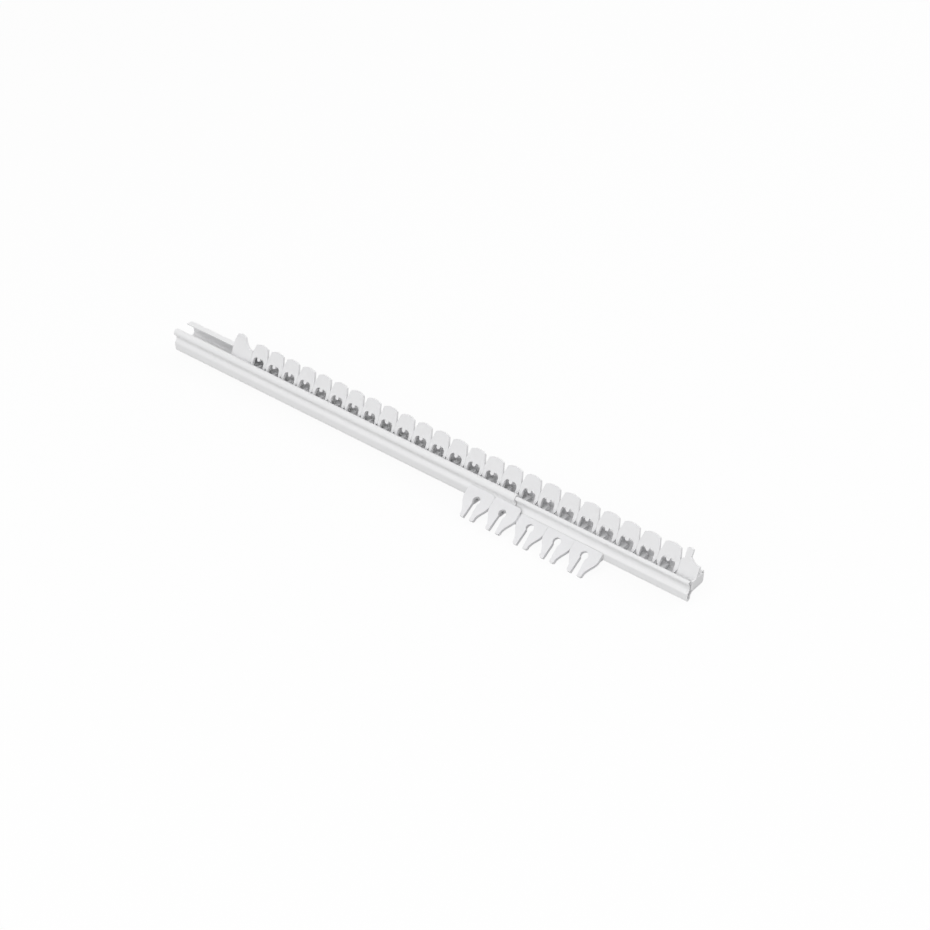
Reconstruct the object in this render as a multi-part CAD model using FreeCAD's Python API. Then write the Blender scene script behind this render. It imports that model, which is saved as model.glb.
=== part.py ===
import FreeCAD, Part
import math
import os

# Extendable curtain track, laid with its carrier channel upward, in millimetres.
# +X runs along the track to its stopped end, +Y to the rear, +Z up out of the channel.
# The origin is the middle of the flat underside of the outer section's base.

# Rolled strip of both sections
SHEET = 0.8
NEST_GAP = 0.4
TRACK_DEPTH = 19.0
FASCIA_HEIGHT = 17.3
HEM_DROP = 5.0
HEM_THICKNESS = 5.9
LIP_WIDTH = 6.3
LIP_TOP = 16.8
CORNER_RADIUS = 3.0
ELBOW_RADIUS = 1.6
BEAD_RADIUS = 2.6
COVE_RADIUS = 3.0
COVE_ANGLE = 47.0
BEAD_TAIL = 1.5

# Lengths along the track
FREE_CHANNEL = 50.0
INNER_SHOWING = 125.2
INNER_OVERLAP = 200.0
RUN_CLEARANCE = 0.35

# Carriers in the channel
CARRIER_COUNT = 24
CARRIER_PITCH = 14.45
CARRIER_GAP = 0.1
CARRIER_THICKNESS = 1.7
CARRIER_STANDOFF = 1.0
CARRIER_LEAN = 25.0
CARRIER_HEIGHT = 19.9
CROWN_RISE = 1.3
CROWN_HALF_WIDTH = 5.3
SHOULDER_HEIGHT = 11.6
WAIST_HEIGHT = 6.2
LEG_HALF_WIDTH = 5.4
LEG_STRAIGHT = 2.2
ARCH_HALF_WIDTH = 4.7
ARCH_TOP = 10.5
ARCH_CORNER = 2.6
NUB_OFFSET = -0.4
NUB_WIDTH = 2.6
NUB_LENGTH = 2.3
FOOT_HEIGHT = 3.0
FOOT_REACH = 1.8
FOOT_TOE = 0.9
FOOT_SLOT_HALF_WIDTH = 3.0
FOOT_BAR = 2.7
LEG_ROOT = 1.0

# Stop at the left of the row
LEFT_STOP_LENGTH = 18.0
LEFT_STOP_SHOULDER = 13.6
LEFT_STOP_STEP = 13.4
KNOB_START = 1.6
KNOB_WIDTH = 7.4
KNOB_FOOT_WIDTH = 14.6
KNOB_HIP_WIDTH = 11.3
KNOB_HIP_HEIGHT = 16.4
KNOB_SIDE_HEIGHT = 19.8
KNOB_CROWN = 1.3

# Stop and end flange at the right end
RIGHT_STOP_PLUG = 11.5
RIGHT_STOP_SHOULDER = 13.0
PEG_INSET = 1.7
PEG_WIDTH = 4.0
PEG_HEIGHT = 21.4
PEG_CROWN = 0.6
FLANK_TOP = 16.4
FLANK_END = 13.2
FLANK_SAG = 0.9
FLANGE_THICKNESS = 1.2
FLANGE_BOTTOM = 4.2
FLANGE_HEIGHT = 6.0
FLANGE_CORNER = 1.5
FLANGE_REAR_INSET = 1.4

# Keyhole hook plates on the fascia
PLATE_PITCH = 20.3
PLATE_GAP = 0.1
PLATES_ON_OUTER = 2
PLATES_ON_INNER = 3
OUTER_PLATE_OVERHANG = 5.5
PLATE_LENGTH = 20.6
PLATE_THICKNESS = 2.6
PLATE_SLOPE = 35.0
PLATE_SEAT_INSET = 1.3
PLATE_SEAT_HEIGHT = 9.9
PLATE_DROP_ON_INNER = 1.8
PLATE_SIDE = 8.2
PLATE_CORNER = 1.4
PRONG_HALF_SPAN = 5.4
PRONG_LENGTH = 2.6
PRONG_TIP = 0.8
TAPER_BULGE = 0.25
KEYHOLE_RADIUS = 2.7
KEYHOLE_CENTRE = 7.8
SLOT_NECK = 3.7
SLOT_MOUTH = 4.8
CLIP_WALL = 1.2
CLIP_WIDTH = 4.0
CLIP_OFFSET = 6.5
CLIP_BACK = 3.2

# Turns in degrees
QUARTER_TURN = 90.0
HALF_TURN = 180.0

# Derived places
NEST_STEP = SHEET + NEST_GAP
HEM_RADIUS = HEM_THICKNESS / 2
COVE_HEIGHT = 2 * (BEAD_RADIUS + COVE_RADIUS) * math.sin(math.radians(COVE_ANGLE))
BASE_FRONT = HEM_THICKNESS + ELBOW_RADIUS
BASE_REAR = TRACK_DEPTH - CORNER_RADIUS
FASCIA_Y = -(BASE_FRONT + BASE_REAR) / 2
FASCIA_BOTTOM = -HEM_DROP
REAR_Y = FASCIA_Y + TRACK_DEPTH
LIP_EDGE_Y = REAR_Y - LIP_WIDTH
LIP_Z = FASCIA_BOTTOM + LIP_TOP
TAIL_Y = FASCIA_Y + 2 * BEAD_RADIUS
CHANNEL_FLOOR = NEST_STEP + SHEET
CHANNEL_REAR_Y = REAR_Y - NEST_STEP - SHEET
FOOT_BOTTOM = CHANNEL_FLOOR + RUN_CLEARANCE
FOOT_TOP = FOOT_BOTTOM + FOOT_HEIGHT
FOOT_FRONT_Y = TAIL_Y - FOOT_TOE
FOOT_REAR_Y = LIP_EDGE_Y + FOOT_REACH
CARRIER_WIDTH = CARRIER_PITCH - CARRIER_GAP
ROW_LENGTH = CARRIER_COUNT * CARRIER_PITCH

LEAN = math.radians(CARRIER_LEAN)
SLOPE = math.radians(PLATE_SLOPE)
LEAN_UP = FreeCAD.Vector(0, math.sin(LEAN), math.cos(LEAN))
LEAN_BACK = FreeCAD.Vector(0, math.cos(LEAN), -math.sin(LEAN))
SLOPE_DOWN = FreeCAD.Vector(0, -math.cos(SLOPE), -math.sin(SLOPE))
SLOPE_UNDER = FreeCAD.Vector(0, math.sin(SLOPE), -math.cos(SLOPE))

# The leaning plates stand off by a set distance behind the back of the inner section's cove.
COVE_DEPTH = (BEAD_RADIUS + COVE_RADIUS) * (1 - math.cos(math.radians(COVE_ANGLE)))
COVE_BACK_Y = FASCIA_Y + NEST_STEP + SHEET + COVE_DEPTH
LEAN_FRONT_Y = COVE_BACK_Y + CARRIER_STANDOFF

# X places: the outer section's right end is where the inner section comes out of it.
ROW_END_FROM_JOINT = INNER_SHOWING - RIGHT_STOP_PLUG
ROW_START_FROM_JOINT = ROW_END_FROM_JOINT - ROW_LENGTH
OUTER_LENGTH = FREE_CHANNEL + LEFT_STOP_LENGTH - ROW_START_FROM_JOINT
JOINT_X = OUTER_LENGTH / 2
INNER_END_X = JOINT_X + INNER_SHOWING
ROW_END_X = JOINT_X + ROW_END_FROM_JOINT
ROW_START_X = JOINT_X + ROW_START_FROM_JOINT


def strip_steps():
    """Straight run, bend radius on the outer face and turn to the inside, from lip edge to bead tail."""
    fascia_run = FASCIA_HEIGHT - BEAD_RADIUS - COVE_HEIGHT - HEM_RADIUS
    return [
        (LIP_WIDTH - CORNER_RADIUS, CORNER_RADIUS, QUARTER_TURN),
        (LIP_TOP - HEM_DROP - 2 * CORNER_RADIUS, CORNER_RADIUS, QUARTER_TURN),
        (BASE_REAR - BASE_FRONT, ELBOW_RADIUS, -QUARTER_TURN),
        (HEM_DROP - ELBOW_RADIUS - HEM_RADIUS, HEM_RADIUS, HALF_TURN),
        (fascia_run, BEAD_RADIUS, COVE_ANGLE),
        (0.0, COVE_RADIUS, -2 * COVE_ANGLE),
        (0.0, BEAD_RADIUS, COVE_ANGLE + HALF_TURN),
        (BEAD_TAIL, 0.0, 0.0),
    ]


def trace(offset):
    """Edges of the strip's face, set the given distance inside its outer face."""
    heading = 0.0
    point = FreeCAD.Vector(0, LIP_EDGE_Y, LIP_Z - offset)
    edges = []
    for run, radius, turn in strip_steps():
        along = FreeCAD.Vector(0, math.cos(heading), math.sin(heading))
        if run > 0:
            corner = point + along * run
            edges.append(Part.LineSegment(point, corner).toShape())
            point = corner
        if turn == 0:
            continue
        side = math.copysign(1.0, turn)
        reach = radius - side * offset
        inward = FreeCAD.Vector(0, math.sin(heading), -math.cos(heading)) * side
        centre = point + inward * reach
        middle = swing(centre, point, -turn / 2)
        finish = swing(centre, point, -turn)
        edges.append(Part.Arc(point, middle, finish).toShape())
        point = finish
        heading -= math.radians(turn)
    return edges


def swing(centre, point, degrees):
    """The point turned about a centre in the Y-Z plane."""
    turn = FreeCAD.Rotation(FreeCAD.Vector(1, 0, 0), degrees)
    return centre + turn.multVec(point - centre)


def first_point(edges):
    return edges[0].Vertexes[0].Point


def last_point(edges):
    return edges[-1].Vertexes[-1].Point


def face_of(edges):
    return Part.Face(Part.Wire(Part.__sortEdges__(edges)))


def bar_along_x(face, start, finish):
    """Solid of a Y-Z face between two X places."""
    bar = face.extrude(FreeCAD.Vector(finish - start, 0, 0))
    bar.translate(FreeCAD.Vector(start, 0, 0))
    return bar


def track_section(offset, start, finish):
    """One rolled section of the track."""
    outside = trace(offset)
    inside = trace(offset + SHEET)
    lip_edge = Part.LineSegment(first_point(outside), first_point(inside)).toShape()
    tail_edge = Part.LineSegment(last_point(outside), last_point(inside)).toShape()
    return bar_along_x(face_of(outside + inside + [lip_edge, tail_edge]), start, finish)


def track_envelope(offset, start, finish):
    """Everything inside the track's outer face, grown by the running clearance."""
    outside = trace(offset - RUN_CLEARANCE)
    mouth = Part.LineSegment(last_point(outside), first_point(outside)).toShape()
    return bar_along_x(face_of(outside + [mouth]), start, finish)


def outline(place, steps):
    """Face from local points: a pair is a straight step, two pairs are an arc's middle and end."""
    start = place(*steps[0])
    point = start
    edges = []
    for step in steps[1:]:
        if len(step) == 4:
            middle = place(step[0], step[1])
            finish = place(step[2], step[3])
            edges.append(Part.Arc(point, middle, finish).toShape())
        else:
            finish = place(*step)
            edges.append(Part.LineSegment(point, finish).toShape())
        point = finish
    edges.append(Part.LineSegment(point, start).toShape())
    return face_of(edges)


def leaning(x_zero):
    """Maker of points on the leaning front face, from X and height above the foot."""
    base = FreeCAD.Vector(x_zero, LEAN_FRONT_Y, FOOT_TOP)
    return lambda x, height: base + FreeCAD.Vector(x, 0, 0) + LEAN_UP * height


def foot(start, finish):
    """Runner that lies in the channel under the rear lip and the bead's tail."""
    block = Part.makeBox(finish - start, FOOT_REAR_Y - FOOT_FRONT_Y, FOOT_HEIGHT)
    block.translate(FreeCAD.Vector(start, FOOT_FRONT_Y, FOOT_BOTTOM))
    return block


def carrier(centre_x):
    """Carrier: leaning plate with sloped shoulders, arched eyelet with a nub, and a forked foot."""
    place = leaning(centre_x)
    half = CARRIER_WIDTH / 2
    crown_side = CARRIER_HEIGHT - CROWN_RISE
    body = outline(place, [
        (-LEG_HALF_WIDTH, -LEG_ROOT),
        (-LEG_HALF_WIDTH, LEG_STRAIGHT),
        (-half, WAIST_HEIGHT),
        (-half, SHOULDER_HEIGHT),
        (-CROWN_HALF_WIDTH, crown_side),
        (0, CARRIER_HEIGHT, CROWN_HALF_WIDTH, crown_side),
        (half, SHOULDER_HEIGHT),
        (half, WAIST_HEIGHT),
        (LEG_HALF_WIDTH, LEG_STRAIGHT),
        (LEG_HALF_WIDTH, -LEG_ROOT),
    ])
    spring = ARCH_TOP - ARCH_CORNER
    crest = ARCH_HALF_WIDTH - ARCH_CORNER
    bend = ARCH_CORNER * math.sin(math.radians(QUARTER_TURN / 2))
    arch = outline(place, [
        (-ARCH_HALF_WIDTH, -2 * LEG_ROOT),
        (-ARCH_HALF_WIDTH, spring),
        (-crest - bend, spring + bend, -crest, ARCH_TOP),
        (crest, ARCH_TOP),
        (crest + bend, spring + bend, ARCH_HALF_WIDTH, spring),
        (ARCH_HALF_WIDTH, -2 * LEG_ROOT),
    ])
    nub_left = NUB_OFFSET - NUB_WIDTH / 2
    nub_right = NUB_OFFSET + NUB_WIDTH / 2
    nub_side = ARCH_TOP - NUB_LENGTH + NUB_WIDTH / 2
    nub = outline(place, [
        (nub_left, ARCH_TOP),
        (nub_left, nub_side),
        (NUB_OFFSET, ARCH_TOP - NUB_LENGTH, nub_right, nub_side),
        (nub_right, ARCH_TOP),
    ])
    thickness = LEAN_BACK * CARRIER_THICKNESS
    eyelet = arch.extrude(thickness).cut(nub.extrude(thickness))
    plate = body.extrude(thickness).cut(eyelet)
    runner = foot(centre_x - LEG_HALF_WIDTH, centre_x + LEG_HALF_WIDTH)
    fork_length = FOOT_REAR_Y - FOOT_FRONT_Y - FOOT_BAR
    fork = Part.makeBox(2 * FOOT_SLOT_HALF_WIDTH, fork_length, FOOT_HEIGHT)
    fork.translate(FreeCAD.Vector(centre_x - FOOT_SLOT_HALF_WIDTH, FOOT_FRONT_Y + FOOT_BAR, FOOT_BOTTOM))
    return plate.fuse(runner.cut(fork)).removeSplitter()


def left_stop():
    """Stop at the left of the row: solid body and a tapered rounded knob."""
    start = ROW_START_X - LEFT_STOP_LENGTH
    finish = ROW_START_X - CARRIER_GAP
    width = finish - start
    place = leaning(start)
    knob_end = KNOB_START + KNOB_WIDTH
    body = outline(place, [
        (0, -LEG_ROOT),
        (0, LEFT_STOP_SHOULDER),
        (KNOB_START, KNOB_SIDE_HEIGHT),
        (KNOB_START + KNOB_WIDTH / 2, KNOB_SIDE_HEIGHT + KNOB_CROWN, knob_end, KNOB_SIDE_HEIGHT),
        (KNOB_HIP_WIDTH, KNOB_HIP_HEIGHT, KNOB_FOOT_WIDTH, LEFT_STOP_STEP),
        (width, LEFT_STOP_STEP),
        (width, -LEG_ROOT),
    ])
    plate = body.extrude(LEAN_BACK * CARRIER_THICKNESS)
    return plate.fuse(foot(start, finish)).removeSplitter()


def right_end_stop():
    """Stop at the right end: peg, falling flank, plug in the channel and a flange over its end."""
    start = ROW_END_X
    finish = INNER_END_X + FLANGE_THICKNESS
    width = finish - start
    place = leaning(start)
    peg_end = PEG_INSET + PEG_WIDTH
    flank_width = width - peg_end
    flank_middle = (FLANK_TOP + FLANK_END) / 2 - FLANK_SAG
    body = outline(place, [
        (0, -LEG_ROOT),
        (0, RIGHT_STOP_SHOULDER),
        (PEG_INSET, RIGHT_STOP_SHOULDER + PEG_INSET),
        (PEG_INSET, PEG_HEIGHT - PEG_CROWN),
        (PEG_INSET + PEG_WIDTH / 2, PEG_HEIGHT, peg_end, PEG_HEIGHT - PEG_CROWN),
        (peg_end, FLANK_TOP),
        (peg_end + flank_width / 2, flank_middle, width, FLANK_END),
        (width, -LEG_ROOT),
    ])
    plate = body.extrude(LEAN_BACK * CARRIER_THICKNESS)
    plug = foot(start, INNER_END_X)
    flange_depth = CHANNEL_REAR_Y - FLANGE_REAR_INSET - FOOT_FRONT_Y
    flange = Part.makeBox(FLANGE_THICKNESS, flange_depth, FLANGE_HEIGHT)
    flange.translate(FreeCAD.Vector(INNER_END_X, FOOT_FRONT_Y, FLANGE_BOTTOM))
    rear_edges = [edge for edge in flange.Edges if is_flange_corner(edge)]
    flange = flange.makeFillet(FLANGE_CORNER, rear_edges)
    return plate.fuse([plug, flange]).removeSplitter()


def is_flange_corner(edge):
    """The flange's two long edges at the rear, which follow the track's bends."""
    box = edge.BoundBox
    return box.XLength > FLANGE_THICKNESS / 2 and box.YMin > FOOT_REAR_Y


def hook_plate(centre_x, offset, drop):
    """Keyhole hook plate that clips round the hem of a section and slopes forward from its cove."""
    half = (PLATE_PITCH - PLATE_GAP) / 2
    seat_z = FASCIA_BOTTOM + PLATE_SEAT_HEIGHT - drop
    seat = FreeCAD.Vector(centre_x, FASCIA_Y + offset + PLATE_SEAT_INSET, seat_z)

    def place(x, along):
        return seat + FreeCAD.Vector(x, 0, 0) + SLOPE_DOWN * along

    prong_start = PLATE_LENGTH - PRONG_LENGTH
    waist = (PLATE_SIDE + prong_start) / 2
    waist_half = (half + PRONG_HALF_SPAN) / 2
    bulge_half = (half + waist_half) / 2 + TAPER_BULGE
    hollow_half = (waist_half + PRONG_HALF_SPAN) / 2 - TAPER_BULGE
    bulge = (PLATE_SIDE + waist) / 2
    hollow = (waist + prong_start) / 2
    sheet = outline(place, [
        (-half + PLATE_CORNER, 0),
        (half - PLATE_CORNER, 0),
        (half, PLATE_CORNER),
        (half, PLATE_SIDE),
        (bulge_half, bulge, waist_half, waist),
        (hollow_half, hollow, PRONG_HALF_SPAN, prong_start),
        (PRONG_HALF_SPAN, PLATE_LENGTH - PRONG_TIP),
        (PRONG_HALF_SPAN - PRONG_TIP, PLATE_LENGTH),
        (-PRONG_HALF_SPAN + PRONG_TIP, PLATE_LENGTH),
        (-PRONG_HALF_SPAN, PLATE_LENGTH - PRONG_TIP),
        (-PRONG_HALF_SPAN, prong_start),
        (-hollow_half, hollow, -waist_half, waist),
        (-bulge_half, bulge, -half, PLATE_SIDE),
        (-half, PLATE_CORNER),
    ])
    neck = SLOT_NECK / 2
    neck_start = KEYHOLE_CENTRE + math.sqrt(KEYHOLE_RADIUS ** 2 - neck ** 2)
    mouth = SLOT_MOUTH / 2
    keyhole = outline(place, [
        (-neck, neck_start),
        (0, KEYHOLE_CENTRE - KEYHOLE_RADIUS, neck, neck_start),
        (mouth, PLATE_LENGTH),
        (mouth, PLATE_LENGTH + mouth),
        (-mouth, PLATE_LENGTH + mouth),
        (-mouth, PLATE_LENGTH),
    ])
    thickness = SLOPE_UNDER * PLATE_THICKNESS
    plate = sheet.extrude(thickness).cut(keyhole.extrude(thickness))
    reach = CLIP_WALL + RUN_CLEARANCE
    clip_front = FASCIA_Y + offset - reach
    clip_bottom = FASCIA_BOTTOM + offset - reach
    clip_depth = HEM_THICKNESS - 2 * offset + 2 * reach
    clip_top = seat_z - PLATE_THICKNESS / math.cos(SLOPE)
    clips = []
    for side in (-1, 1):
        corner = FreeCAD.Vector(centre_x + side * CLIP_OFFSET - CLIP_WIDTH / 2, clip_front, clip_bottom)
        clips.append(Part.makeBox(CLIP_WIDTH, reach + HEM_RADIUS, clip_top - clip_bottom, corner))
        clips.append(Part.makeBox(CLIP_WIDTH, clip_depth, CLIP_BACK + reach, corner))
    room = track_envelope(offset, centre_x - PLATE_PITCH, centre_x + PLATE_PITCH)
    return plate.fuse(clips).cut(room).removeSplitter()


def build_nodes():
    """Every piece by its node name."""
    nodes = {
        "outer_track": track_section(0.0, -OUTER_LENGTH / 2, JOINT_X),
        "inner_track": track_section(NEST_STEP, JOINT_X - INNER_OVERLAP, INNER_END_X),
        "left_stop": left_stop(),
        "right_end_stop": right_end_stop(),
    }
    first_centre = ROW_START_X + CARRIER_PITCH / 2 - CARRIER_GAP / 2
    for index in range(CARRIER_COUNT):
        nodes["carrier_%02d" % (index + 1)] = carrier(first_centre + index * CARRIER_PITCH)
    last_on_outer = JOINT_X + OUTER_PLATE_OVERHANG - PLATE_PITCH / 2
    for index in range(PLATES_ON_OUTER + PLATES_ON_INNER):
        on_inner = index >= PLATES_ON_OUTER
        centre = last_on_outer + (index - PLATES_ON_OUTER + 1) * PLATE_PITCH
        offset = NEST_STEP if on_inner else 0.0
        drop = PLATE_DROP_ON_INNER if on_inner else 0.0
        nodes["hook_plate_%d" % (index + 1)] = hook_plate(centre, offset, drop)
    return nodes


def main():
    os.makedirs("parts", exist_ok=True)
    for name, shape in build_nodes().items():
        solids = shape.Solids
        print(name, "solids", len(solids), "valid", shape.isValid(), "volume", round(shape.Volume, 1))
        solids[0].exportStep(os.path.join("parts", name + ".step"))


main()
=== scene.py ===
"""Looks of the extendable curtain track.

The rolled sections wear white enamel; the carriers, stops and hook plates are white moulded plastic.
Lengths are in metres unless a name says otherwise.
"""

import math

import bpy
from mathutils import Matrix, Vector


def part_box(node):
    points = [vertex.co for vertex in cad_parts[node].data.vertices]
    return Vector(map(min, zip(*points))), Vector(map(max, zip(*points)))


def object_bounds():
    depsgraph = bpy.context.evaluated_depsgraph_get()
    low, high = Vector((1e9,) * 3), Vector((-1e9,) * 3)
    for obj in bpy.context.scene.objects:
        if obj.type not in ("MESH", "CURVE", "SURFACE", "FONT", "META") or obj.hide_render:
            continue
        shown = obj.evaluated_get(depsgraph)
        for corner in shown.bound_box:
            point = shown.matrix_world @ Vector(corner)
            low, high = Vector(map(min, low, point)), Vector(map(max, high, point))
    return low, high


MM = 0.001

# Camera at the photograph's place: the point at the picture's middle, measured from the front lower corner
# of the outer section's right end, and the way back from it
LOOK_FROM_JOINT = Vector((-44.9, 8.0, 15.92)) * MM
CAMERA_AZIMUTH = math.radians(39.61)
CAMERA_ELEVATION = math.radians(36.08)
CAMERA_DISTANCE = 1.0633
LENS_MM = 66.28
SENSOR_MM = 36.0

# Floor: mid grey for the light it throws back, near white and faintly shadowed where it is seen
FLOOR_SIZE = 12.0
FLOOR_GREY = (0.5, 0.5, 0.5, 1.0)
FLOOR_WHITE = (0.97, 0.97, 0.97, 1.0)
FLOOR_GLOW = 0.92

# Light: the surroundings' strength as light and as seen backdrop, then each lamp's place from the picture's
# middle, size and watts
WORLD_TONE = (1.0, 1.0, 1.0, 1.0)
WORLD_STRENGTH = 0.38
BACKDROP_STRENGTH = 1.0
LAMPS = {
    "main": (Vector((0.4, -1.7, 2.0)), 2.0, 29.5),
    "fill": (Vector((-0.5, -2.6, 0.5)), 2.0, 15.0),
    "back": (Vector((1.5, 1.3, 1.9)), 2.0, 24.0),
    "rear": (Vector((-1.0, 2.4, 0.5)), 2.0, 14.0),
}

# White enamel of the sections
TRACK_LIGHT = (0.91, 0.91, 0.915, 1.0)
TRACK_SHADE = (0.885, 0.885, 0.892, 1.0)
TRACK_ROUGHNESS = (0.26, 0.36)
TRACK_GRAIN = (700.0, 700.0, 700.0)
TRACK_BUMP = 0.02

# White moulded plastic of carriers, stops and hook plates
PLASTIC_LIGHT = (0.87, 0.87, 0.878, 1.0)
PLASTIC_SHADE = (0.84, 0.84, 0.848, 1.0)
# Hook plates: the same plastic made a touch lighter and bluer, painted light standing in for the extra light
# on their up-facing sides
PAINTED_LIT_PLATE_LIGHT = (0.88, 0.88, 0.892, 1.0)
PAINTED_LIT_PLATE_SHADE = (0.85, 0.85, 0.862, 1.0)
PLASTIC_ROUGHNESS = (0.38, 0.5)
PLASTIC_GRAIN = (450.0, 450.0, 450.0)
PLASTIC_BUMP = 0.03

# Grain that all coatings share: its size comes from each coating's own grain value
NOISE_SCALE = 1.0
NOISE_DETAIL = 3.0
BUMP_DISTANCE = 0.0002


def coated(name, light, shade, roughness, grain, bump):
    """Coating whose tone, gloss and surface vary a little with a fine grain."""
    material = bpy.data.materials.new(name)
    material.use_nodes = True
    nodes = material.node_tree.nodes
    links = material.node_tree.links
    surface = nodes["Principled BSDF"]
    place = nodes.new("ShaderNodeTexCoord")
    scale = nodes.new("ShaderNodeMapping")
    scale.inputs["Scale"].default_value = grain
    noise = nodes.new("ShaderNodeTexNoise")
    noise.inputs["Scale"].default_value = NOISE_SCALE
    noise.inputs["Detail"].default_value = NOISE_DETAIL
    tone = nodes.new("ShaderNodeValToRGB")
    tone.color_ramp.elements[0].color = shade
    tone.color_ramp.elements[1].color = light
    gloss = nodes.new("ShaderNodeMapRange")
    gloss.inputs["To Min"].default_value = roughness[0]
    gloss.inputs["To Max"].default_value = roughness[1]
    relief = nodes.new("ShaderNodeBump")
    relief.inputs["Strength"].default_value = bump
    relief.inputs["Distance"].default_value = BUMP_DISTANCE
    links.new(place.outputs["Object"], scale.inputs["Vector"])
    links.new(scale.outputs["Vector"], noise.inputs["Vector"])
    links.new(noise.outputs["Fac"], tone.inputs["Fac"])
    links.new(noise.outputs["Fac"], gloss.inputs["Value"])
    links.new(noise.outputs["Fac"], relief.inputs["Height"])
    links.new(tone.outputs["Color"], surface.inputs["Base Color"])
    links.new(gloss.outputs["Result"], surface.inputs["Roughness"])
    links.new(relief.outputs["Normal"], surface.inputs["Normal"])
    return material


def dress(nodes):
    """Gives every node its coating; the hook plates get a lighter copy of the plastic, painted light for
    their up-facing sides.
    """
    enamel = coated("white_enamel", TRACK_LIGHT, TRACK_SHADE, TRACK_ROUGHNESS, TRACK_GRAIN, TRACK_BUMP)
    plastic = coated(
        "white_plastic", PLASTIC_LIGHT, PLASTIC_SHADE, PLASTIC_ROUGHNESS, PLASTIC_GRAIN, PLASTIC_BUMP
    )
    # lighter copy of the plastic for the hook plates: painted light
    plate = coated("plate_plastic_painted_lit", PAINTED_LIT_PLATE_LIGHT, PAINTED_LIT_PLATE_SHADE, PLASTIC_ROUGHNESS, PLASTIC_GRAIN, PLASTIC_BUMP)
    for name, node in nodes.items():
        node.data.materials.clear()
        if name.endswith("_track"):
            node.data.materials.append(enamel)
        elif name.startswith("hook_plate"):
            node.data.materials.append(plate)
        else:
            node.data.materials.append(plastic)


def picture_middle():
    """The point that the camera looks at."""
    low_corner, high_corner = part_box("outer_track")
    return Vector((high_corner[0], low_corner[1], low_corner[2])) + LOOK_FROM_JOINT


def backdrop_rays(tree):
    """Socket that is one for the rays which show the backdrop: direct, mirrored or seen through."""
    rays = tree.nodes.new("ShaderNodeLightPath")
    shown = rays.outputs["Is Camera Ray"]
    for kind in ("Is Glossy Ray", "Is Transmission Ray"):
        either = tree.nodes.new("ShaderNodeMath")
        either.operation = "MAXIMUM"
        tree.links.new(shown, either.inputs[0])
        tree.links.new(rays.outputs[kind], either.inputs[1])
        shown = either.outputs["Value"]
    return shown


def add_floor(middle, height):
    """Plain pale floor under the object's lowest point."""
    bpy.ops.mesh.primitive_plane_add(size=FLOOR_SIZE, location=(middle.x, middle.y, height))
    floor = bpy.context.object
    floor.name = "floor"
    material = bpy.data.materials.new("floor_paper")
    material.use_nodes = True
    tree = material.node_tree
    tree.nodes.remove(tree.nodes["Principled BSDF"])
    ground = tree.nodes.new("ShaderNodeBsdfDiffuse")
    ground.inputs["Color"].default_value = FLOOR_GREY
    paper = tree.nodes.new("ShaderNodeBsdfDiffuse")
    paper.inputs["Color"].default_value = FLOOR_WHITE
    glow = tree.nodes.new("ShaderNodeEmission")
    glow.inputs["Strength"].default_value = BACKDROP_STRENGTH
    seen = tree.nodes.new("ShaderNodeMixShader")
    seen.inputs["Fac"].default_value = FLOOR_GLOW
    surface = tree.nodes.new("ShaderNodeMixShader")
    tree.links.new(paper.outputs["BSDF"], seen.inputs[1])
    tree.links.new(glow.outputs["Emission"], seen.inputs[2])
    tree.links.new(backdrop_rays(tree), surface.inputs["Fac"])
    tree.links.new(ground.outputs["BSDF"], surface.inputs[1])
    tree.links.new(seen.outputs["Shader"], surface.inputs[2])
    tree.links.new(surface.outputs["Shader"], tree.nodes["Material Output"].inputs["Surface"])
    floor.data.materials.append(material)


def add_light(middle):
    """Even white surroundings and large soft lamps."""
    world = bpy.data.worlds.new("studio")
    world.use_nodes = True
    tree = world.node_tree
    sky = tree.nodes["Background"]
    sky.inputs["Color"].default_value = WORLD_TONE
    sky.inputs["Strength"].default_value = WORLD_STRENGTH
    backdrop = tree.nodes.new("ShaderNodeBackground")
    backdrop.inputs["Color"].default_value = WORLD_TONE
    backdrop.inputs["Strength"].default_value = BACKDROP_STRENGTH
    either = tree.nodes.new("ShaderNodeMixShader")
    tree.links.new(backdrop_rays(tree), either.inputs["Fac"])
    tree.links.new(sky.outputs["Background"], either.inputs[1])
    tree.links.new(backdrop.outputs["Background"], either.inputs[2])
    tree.links.new(either.outputs["Shader"], tree.nodes["World Output"].inputs["Surface"])
    bpy.context.scene.world = world
    for name, (place, size, watts) in LAMPS.items():
        data = bpy.data.lights.new(name, "AREA")
        data.size = size
        data.energy = watts
        lamp = bpy.data.objects.new(name, data)
        lamp.location = middle + place
        lamp.rotation_euler = (-place).to_track_quat("-Z", "Y").to_euler()
        bpy.context.collection.objects.link(lamp)


def add_camera(middle):
    """Camera at the photograph's place."""
    back = Vector((
        math.sin(CAMERA_AZIMUTH) * math.cos(CAMERA_ELEVATION),
        -math.cos(CAMERA_AZIMUTH) * math.cos(CAMERA_ELEVATION),
        math.sin(CAMERA_ELEVATION),
    ))
    data = bpy.data.cameras.new("camera")
    data.lens = LENS_MM
    data.sensor_width = SENSOR_MM
    camera = bpy.data.objects.new("camera", data)
    camera.location = middle + back * CAMERA_DISTANCE
    camera.rotation_euler = (-back).to_track_quat("-Z", "Y").to_euler()
    bpy.context.collection.objects.link(camera)
    bpy.context.scene.camera = camera


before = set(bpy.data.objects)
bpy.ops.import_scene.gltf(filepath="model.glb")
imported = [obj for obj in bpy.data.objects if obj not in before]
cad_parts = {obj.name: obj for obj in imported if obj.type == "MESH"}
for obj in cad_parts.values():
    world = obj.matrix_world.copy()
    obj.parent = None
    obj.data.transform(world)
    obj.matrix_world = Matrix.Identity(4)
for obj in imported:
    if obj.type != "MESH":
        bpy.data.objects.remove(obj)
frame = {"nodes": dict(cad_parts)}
cad_low, cad_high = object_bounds()
dress(frame["nodes"])
middle = picture_middle()
add_floor(middle, cad_low.z)
add_light(middle)
add_camera(middle)
bpy.context.scene.view_settings.view_transform = "Standard"
